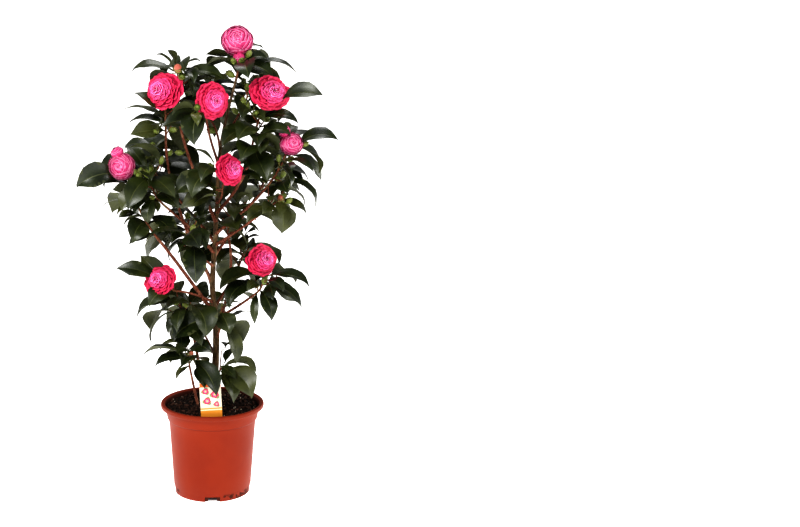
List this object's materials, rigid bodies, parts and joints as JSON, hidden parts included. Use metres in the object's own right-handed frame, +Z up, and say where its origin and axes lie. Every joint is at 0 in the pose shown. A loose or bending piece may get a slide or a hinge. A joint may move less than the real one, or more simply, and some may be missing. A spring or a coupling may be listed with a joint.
{
  "type": "potted camellia shrub",
  "caption": "Young flowering camellia shrub with a slender trunk, open leafy crown and rose-like blooms, standing in a round plastic nursery pot with a plain care label.",
  "frame": {"origin": "middle of the flat face under the pot, on its axis", "axes": "+Z up along the pot's axis, +X to the right and +Y away as the shrub is seen from its front"},
  "size_m": [0.462, 0.3242, 0.8654],
  "materials": {
    "pot": "satin",
    "soil": "matte",
    "label": "glossy",
    "trunk": "matte",
    "boughs": "matte",
    "foliage": "glossy"
  },
  "bodies": {
    "root": {"pot": "pot", "soil": "soil", "label": "label", "trunk": "trunk", "bough_crown_right": "boughs", "bough_top_front": "boughs", "bough_top_left": "boughs", "bough_upper_left": "boughs", "bough_top_right": "boughs", "bough_front": "boughs", "bough_mid_left": "boughs", "bough_far_left": "boughs", "bough_low_left": "boughs", "bough_far_right": "boughs", "bough_mid_right": "boughs", "bough_low_right": "boughs", "bough_inner_right": "boughs", "bough_inner_left": "boughs", "bough_waist_right": "boughs", "bough_foot_right": "boughs", "bough_back_top": "boughs", "bough_back_left": "boughs", "bough_back_right": "boughs", "bough_back_mid": "boughs", "bough_back_low": "boughs", "bough_back_foot": "boughs", "stem_left": "boughs", "stem_low": "boughs", "spray_leader": "foliage", "spray_top_left": "foliage", "spray_top_front": "foliage", "spray_upper_left": "foliage", "spray_top_right": "foliage", "spray_crown_right": "foliage", "spray_front": "foliage", "spray_far_right": "foliage", "spray_mid_right": "foliage", "spray_mid_left": "foliage", "spray_far_left": "foliage", "spray_low_left": "foliage", "spray_low_right": "foliage", "spray_inner_right": "foliage", "spray_inner_left": "foliage", "spray_waist_right": "foliage", "spray_waist_left": "foliage", "spray_foot_left": "foliage", "spray_foot_right": "foliage", "spray_back_top": "foliage", "spray_back_left": "foliage", "spray_back_right": "foliage", "spray_back_mid": "foliage", "spray_back_low": "foliage", "spray_back_foot": "foliage"}
  },
  "joints": []
}
